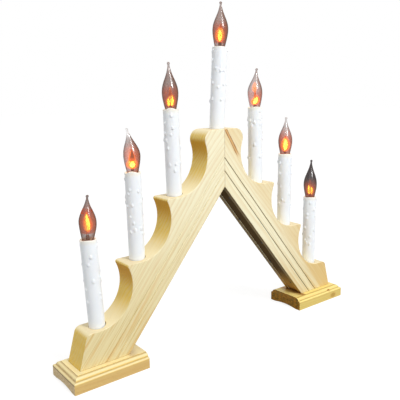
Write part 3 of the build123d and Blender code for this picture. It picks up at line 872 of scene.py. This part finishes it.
def sleeve_rows(beads, candle):
    """Rings up the outside, over the rim and down the inside of a sleeve, and how far inside each is."""
    half_wall = (SLEEVE_RADIUS - SLEEVE_BORE) / 2
    wall_middle = (SLEEVE_RADIUS + SLEEVE_BORE) / 2
    rows = [ring(SLEEVE_RADIUS, -SLEEVE_LENGTH, SLEEVE_SIDES)]
    for step in range(SLEEVE_ROWS + 1):
        height = -SLEEVE_EXPOSED + (SLEEVE_EXPOSED - RIM_ROUND) * step / SLEEVE_ROWS
        rows.append(wave_ring(lambda turn: SLEEVE_RADIUS + drip_stand(beads, turn, height), height, candle))
    inside = [0.0] * len(rows)
    for step in range(1, RIM_STEPS):
        over = pi * step / RIM_STEPS
        lip = wall_middle + half_wall * cos(over)
        rows.append(wave_ring(lambda turn: lip, RIM_ROUND * (sin(over) - 1), candle))
        inside.append(step / RIM_STEPS)
    rows.append(wave_ring(lambda turn: SLEEVE_BORE, -RIM_ROUND, candle))
    for radius, height in (
        (SLEEVE_BORE, -WAVE_REACH),
        (SLEEVE_BORE, -LEDGE_DROP),
        (LEDGE_RADIUS, -LEDGE_DROP),
        (LEDGE_RADIUS, -LEDGE_DROP - LEDGE_THICKNESS),
        (SLEEVE_BORE, -LEDGE_DROP - LEDGE_THICKNESS),
        (SLEEVE_BORE, -SLEEVE_LENGTH),
    ):
        rows.append(ring(radius, height, SLEEVE_SIDES))
    inside += [1.0] * (len(rows) - len(inside))
    return rows, [value for value in inside for side in range(SLEEVE_SIDES)]


def glass_radius(height):
    """Radius of the glass at a height above the rim."""
    for (low_radius, low), (high_radius, high) in zip(GLASS_LINE, GLASS_LINE[1:]):
        if height <= high:
            return low_radius + (high_radius - low_radius) * (height - low) / (high - low)
    return GLASS_LINE[-1][0]


def bend(bulb, height):
    """How far a bulb has bent to the right at a height: its belly's sway, then its tip's drift."""
    share = max(height - BELLY, 0.0) / (BULB_TOP - BELLY)
    return bulb.sway * soft(height, SWAY_FOOT, BELLY) + bulb.drift * share**DRIFT_CURVE


def picture_right(matrix):
    """The picture's right in a bulb's own directions."""
    return matrix.to_3x3().inverted() @ PICTURE_RIGHT


def sided(value, bulb, right, count, bare=0.0):
    """A mark round one ring, stronger to the bulb's side and weaker where the gas is bare in front."""
    marks = []
    for step in range(count):
        turn = 2 * pi * step / count - atan2(right.y, right.x)
        front = max(-sin(turn), 0.0)
        marks.append(value * (1 + bulb.side * cos(turn)) * (1 - bare * front * front))
    return marks


def glass_rows(bulb, right):
    """Rings up one bulb, with how smoky each is."""
    stretch = (bulb.tall - BELLY) / (BULB_TOP - BELLY)
    line = [
        (0.1 * NECK_RADIUS, NECK_BOTTOM),
        (NECK_RADIUS - NECK_EDGE, NECK_BOTTOM),
        (NECK_RADIUS, NECK_BOTTOM + NECK_EDGE),
    ]
    line += fair([(NECK_RADIUS, NECK_TOP), *NECK_FLARE, *GLASS_LINE], GLASS_STEPS)
    pip_middle = BULB_TOP - PIP_RADIUS
    for step in range(1, PIP_STEPS + 1):
        turn = radians(PIP_START + PIP_SWEEP * step / PIP_STEPS)
        line.append((PIP_RADIUS * cos(turn), pip_middle + PIP_RADIUS * sin(turn)))
    rows = []
    marks = []
    for radius, height in line:
        level = height if height < BELLY else BELLY + (height - BELLY) * stretch
        rows.append(ring(radius, level, BULB_SIDES, right * bend(bulb, height)))
        smoke = bulb.smoke_low + soft(height, *SMOKE_CHANGE) * (bulb.smoke_high - bulb.smoke_low)
        smoke += soft(height, *TIP_CHANGE) * (bulb.smoke_tip - smoke)
        marks += sided(smoke, bulb, right, BULB_SIDES)
    return rows, marks


def plate_half_width(share):
    """Half width of a flame plate from its foot, 0, to its tip, 1."""
    full = max(sin(pi * share**PLATE_BELLY), 0.0) ** PLATE_FULLNESS
    return max(PLATE_HALF_WIDTH * full, PLATE_LEAST_HALF)


def plate_rows(side, flames):
    """Rings up one flame plate and how brightly each point is lit."""
    rows = []
    lit = []
    middle = side * PLATE_GAP / 2
    for step in range(FLAME_STEPS + 1):
        share = step / FLAME_STEPS
        height = PLATE_FOOT + (PLATE_TIP - PLATE_FOOT) * share
        half = plate_half_width(share)
        front = []
        back = []
        for across in PLATE_ACROSS:
            thick = PLATE_HALF_THICKNESS * (1 - PLATE_THINNING * across * across)
            front.append((half * across, middle - thick, height))
            back.append((half * across, middle + thick, height))
        rows.append(front + back[::-1])
        burn = 0.0
        for flame in flames:
            if flame.heat > EMBER_HEAT:
                kindled = soft(height, flame.foot, flame.foot + KINDLING)
                burn += flame.heat * kindled * (1 - soft(height, flame.top - DYING, flame.top))
        glow = [burn + PLATE_EDGE_LIGHT * abs(across) ** 3 * (1 - burn) for across in PLATE_ACROSS]
        lit += glow + glow[::-1]
    return rows, lit


def veil_rows(bulb, right):
    """Rings of the veil of glowing gas that fills a bulb's glass, and how strong it is at each."""
    rows = []
    veil = []
    for step in range(FLAME_STEPS + 1):
        share = step / FLAME_STEPS
        height = bulb.gas_low + (bulb.gas_high - bulb.gas_low) * share
        full = (1 - max(share - VEIL_CROWN, 0.0) ** 2 / VEIL_CLOSING) ** 0.5
        radius = VEIL_SHARE * full * glass_radius(max(height, 0.0))
        rows.append(ring(radius, height, VEIL_SIDES, right * bend(bulb, height)))
        strength = bulb.gas * soft(share, *VEIL_START) * (1 - soft(share, *VEIL_FADE))
        veil += sided(strength, bulb, right, VEIL_SIDES, bulb.bare)
    return rows, veil


def flame_rows(bulb, flame, swell, strength, right):
    """Rings of one flame, swollen to a multiple of its width, and how strong it is at each."""
    spread = flame.half * (swell - 1.0)
    rows = []
    veil = []
    for step in range(FLAME_STEPS + 1):
        share = step / FLAME_STEPS
        full = sin(pi * min(max(share, FLAME_BLUNT), 1 - FLAME_BLUNT) ** FLAME_BELLY)
        tall = flame.top - flame.foot + spread * FLAME_GROWTH
        height = flame.foot - spread * FLAME_DOWN + tall * share
        aside = flame.offset + flame.lean * share
        limit = FLAME_SHARE * glass_radius(max(height, 0.0)) - abs(aside)
        radius = min(flame.half * swell * full, limit)
        rows.append(ring(radius, height, FLAME_SIDES, right * (aside + bend(bulb, height))))
        veil += [flame.heat * strength * (1 - soft(share, *FLAME_FADE))] * FLAME_SIDES
    return rows, veil


plastic = sleeve_plastic()
glass = smoky_glass()
stem = stem_glass()
plate = flame_plate()
gas = flame_glow("glow_gas", (0.42, 0.04, 0.003, 1.0), (0.6, 0.07, 0.004, 1.0), 1.25)
ember = flame_glow("glow_ember", (1.0, 0.13, 0.006, 1.0), (1.0, 0.2, 0.008, 1.0), 4.2)
core = flame_glow("glow_core", (1.0, 0.74, 0.04, 1.0), (1.0, 0.98, 0.1, 1.0), 19.0)
# Shells of each flame: swelling, strength and finish
EMBER_SHELLS = ((2.2, 0.3, ember), (1.45, 0.42, ember))
FLAME_SHELLS = (*EMBER_SHELLS, (0.85, 0.88, core))


def add_sleeve(number, candle, matrix, dice):
    """One candle's sleeve with its drips."""
    rows, inside = sleeve_rows(drips(dice), candle)
    sleeve = make_piece(f"sleeve_{number}", rows, plastic, matrix, {"inside": inside}, loop=True)
    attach(sleeve, "arch")
    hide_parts(f"candle_sleeve_{number}")


def add_glass(number, bulb, matrix, right):
    """One bulb's glass with the stem inside it."""
    rows, smoke = glass_rows(bulb, right)
    envelope = make_piece(f"envelope_{number}", rows, glass, matrix, {"smoke": smoke})
    press_rows = [ring(radius, height, STEM_SIDES) for radius, height in STEM_LINE]
    blown = join(f"bulb_{number}_glass", [envelope, make_piece("press", press_rows, stem, matrix)])
    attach(blown, f"bulb_{number}")
    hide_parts(f"bulb_glass_{number}")


def add_plates(number, flames, matrix):
    """One bulb's pair of flame plates on their legs."""
    turned = matrix @ Matrix.Rotation(radians(number * TURN_PER_BULB), 4, "Z")
    parts = []
    for side in (-1, 1):
        rows, lit = plate_rows(side, flames)
        parts.append(make_piece("plate", rows, plate, turned, {"lit": lit}))
        middle = (0.0, side * PLATE_GAP / 2)
        leg_rows = [ring(LEG_RADIUS, height, LEG_SIDES, middle) for height in LEG_HEIGHTS]
        unlit = [0.0] * (LEG_SIDES * len(leg_rows))
        parts.append(make_piece("leg", leg_rows, plate, turned, {"lit": unlit}))
    pair = join(f"bulb_{number}_flame", parts)
    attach(pair, f"bulb_{number}")
    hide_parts(f"bulb_flame_{number}")


def add_glow(number, bulb, flames, matrix, right):
    """One bulb's glowing gas and the shells of its flames."""
    rows, veil = veil_rows(bulb, right)
    parts = [make_piece("veil", rows, gas, matrix, {"veil": veil})]
    for flame in flames:
        shells = FLAME_SHELLS if flame.heat > EMBER_HEAT else EMBER_SHELLS
        for swell, strength, finish in shells:
            rows, veil = flame_rows(bulb, flame, swell, strength, right)
            parts.append(make_piece("veil", rows, finish, matrix, {"veil": veil}))
    glow = join(f"bulb_{number}_glow", parts)
    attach(glow, f"bulb_{number}")


wax_dice = random.Random(7)
for number, (candle, bulb, flames) in enumerate(zip(CANDLES, BULBS, FLAMES), start=1):
    matrix = candle_matrix(candle)
    right = picture_right(matrix)
    add_sleeve(number, candle, matrix, wax_dice)
    add_glass(number, bulb, matrix, right)
    add_plates(number, flames, matrix)
    add_glow(number, bulb, flames, matrix, right)

# Finishes of the pieces that keep the drawing's own shapes; pine has early, late, tan and side tones
ARM_COLOURS = (
    paint(249, 242, 210),
    paint(222, 192, 128),
    paint(232, 206, 144),
    paint(239, 199, 74),
)
FOOT_COLOURS = (
    paint(252, 230, 148),
    paint(216, 160, 64),
    paint(234, 188, 90),
    paint(250, 222, 130),
)
LEFT_ALONG = (-ARM_RUN, 0, -ARM_SLOPE)
LEFT_ACROSS = (-ARM_SLOPE, 0, ARM_RUN)
RIGHT_ALONG = (ARM_RUN, 0, -ARM_SLOPE)
RIGHT_ACROSS = (ARM_SLOPE, 0, ARM_RUN)
left_foot_details = foot_details(
    shaded_face_colour=paint(206, 168, 112),
    lit_top_colour=paint(253, 242, 204),
    end_light=paint(228, 206, 168),
    end_dark=paint(214, 190, 146),
    bead_shade=0.85,
    stain_and_shade=0.3,
)
right_foot_details = foot_details(
    shaded_face_colour=paint(214, 188, 94),
    lit_top_colour=paint(254, 234, 150),
    end_light=paint(158, 96, 6),
    end_dark=paint(98, 62, 0),
    bead_shade=0.0,
    stain_and_shade=0.85,
)
finishes = {
    "left_arm": pine(
        "left_arm_pine", LEFT_ALONG, LEFT_ACROSS, (0.19, 0.03), ARM_COLOURS, left_arm_streaks,
        arm_details(LEFT_ALONG, 0.15),
    ),
    "right_arm": pine(
        "right_arm_pine", RIGHT_ALONG, RIGHT_ACROSS, (0.08, 0.05), ARM_COLOURS, right_arm_streaks,
        arm_details(RIGHT_ALONG, 0.8),
    ),
    "left_foot": pine(
        "left_foot_pine", SIDEWAYS, UPWARDS, (-0.03, 0.02), FOOT_COLOURS, foot_knots(()),
        left_foot_details,
    ),
    "right_foot": pine(
        "right_foot_pine", SIDEWAYS, UPWARDS, (-0.04, -0.01), FOOT_COLOURS, foot_knots(RIGHT_KNOTS),
        right_foot_details,
    ),
}
brass = metal("cap_brass", paint(214, 178, 98), paint(164, 124, 62), 0.24, 1400.0)
zinc = metal("zinc_steel", paint(196, 198, 202), paint(142, 144, 150), 0.3, 1600.0)
board = hardboard()
holder = moulding()
ceramic = plug_ceramic()
insulation = wire_plastic()
for node in ("left_channel_cover", "right_channel_cover"):
    finishes[node] = board
finishes["foot_screws"] = zinc
# The pins' steel is darkened as painted shade, as they sit on the shaded underside.
finishes["cover_pins"] = metal("pins_darkened_as_shade", paint(62, 54, 48), paint(40, 34, 30), 0.45, 1600.0)
for node in ("socket_shells", "socket_contacts"):
    finishes[node] = brass
for node in ("left_link_wires", "right_link_wires", "feed_wire", "return_wire"):
    finishes[node] = insulation
finishes["mitre_dowels"] = dowel_beech()
finishes["cord_grommet"] = grommet_rubber()
for number in range(1, len(CANDLES) + 1):
    finishes[f"socket_body_{number}"] = holder
    finishes[f"bulb_cap_{number}"] = brass
    finishes[f"bulb_contact_{number}"] = ceramic
for node, material in finishes.items():
    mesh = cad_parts[node].data
    mesh.materials.clear()
    mesh.materials.append(material)


def floor_finish():
    """A pale floor that is white to the camera, to gloss and through glass, and keeps soft shadows."""
    finish = Finish("studio_floor")
    plain = finish.node("ShaderNodeBsdfDiffuse", {}, {"Color": (0.5, 0.5, 0.5, 1.0)})[0]
    pale = finish.node("ShaderNodeBsdfDiffuse", {}, {"Color": (0.3, 0.3, 0.3, 1.0)})[0]
    bright = finish.node("ShaderNodeEmission", {}, {"Color": (1, 1, 1, 1), "Strength": 0.8})[0]
    shown = finish.node("ShaderNodeAddShader", {}, {0: pale, 1: bright})[0]
    return finish.close(finish.blend(finish.seen(), plain, shown))


def studio_world():
    """White behind the object for the camera, gloss and glass; a plain soft fill for the rest."""
    finish = Finish("studio", bpy.data.worlds)
    fill = finish.node("ShaderNodeBackground", {}, {"Color": (1, 1, 1, 1), "Strength": 0.68})[0]
    white = finish.node("ShaderNodeBackground", {}, {"Color": (1, 1, 1, 1), "Strength": 1.0})[0]
    return finish.close(finish.blend(finish.seen(), fill, white), "ShaderNodeOutputWorld")


def direction(azimuth, elevation):
    """The way out from the object to a place at these degrees round it and up."""
    round_angle = radians(azimuth)
    up_angle = radians(elevation)
    level = cos(up_angle)
    return Vector((sin(round_angle) * level, -cos(round_angle) * level, sin(up_angle)))


LAMP_TARGET = Vector((0, 0, 0.18))


def softbox(name, azimuth, elevation, distance, width, height, power):
    """An area lamp that looks at the middle of the arch."""
    lamp = bpy.data.lights.new(name, "AREA")
    lamp.shape = "RECTANGLE"
    lamp.size = width
    lamp.size_y = height
    lamp.energy = power
    held = add_object(name, lamp)
    away = direction(azimuth, elevation)
    held.location = LAMP_TARGET + away * distance
    held.rotation_euler = away.to_track_quat("Z", "Y").to_euler()
    return held


FLOOR_HALF = 6
floor_corners = [(x * FLOOR_HALF, y * FLOOR_HALF, 0) for x, y in ((-1, -1), (1, -1), (1, 1), (-1, 1))]
floor_mesh = bpy.data.meshes.new("floor")
floor_mesh.from_pydata(floor_corners, [], [(0, 1, 2, 3)])
floor_mesh.materials.append(floor_finish())
floor = add_object("floor", floor_mesh)
bpy.context.scene.world = studio_world()
softbox("key", azimuth=6.0, elevation=42.0, distance=1.5, width=0.3, height=0.9, power=12.8)
# A slim lamp that only gloss shows, for the streaks on the glass
glint = softbox("glint", azimuth=0.0, elevation=36.0, distance=1.3, width=0.03, height=0.3, power=6.0)
glint.visible_diffuse = False

# Camera
camera_data = bpy.data.cameras.new("camera")
camera_data.sensor_width = SENSOR_WIDTH
camera_data.lens = FOCAL_PIXELS * SENSOR_WIDTH / PICTURE_PIXELS
camera = add_object("camera", camera_data)
back = direction(CAMERA_AZIMUTH, CAMERA_ELEVATION)
level = Vector(UPWARDS).cross(back).normalized()
upright = back.cross(level)
camera_right = cos(CAMERA_ROLL) * level + sin(CAMERA_ROLL) * upright
camera_top = -sin(CAMERA_ROLL) * level + cos(CAMERA_ROLL) * upright
camera_turn = Matrix((camera_right, camera_top, back)).transposed().to_4x4()
camera.matrix_world = Matrix.Translation(CAMERA_PLACE) @ camera_turn
bpy.context.scene.camera = camera

bpy.context.scene.view_settings.view_transform = "Standard"
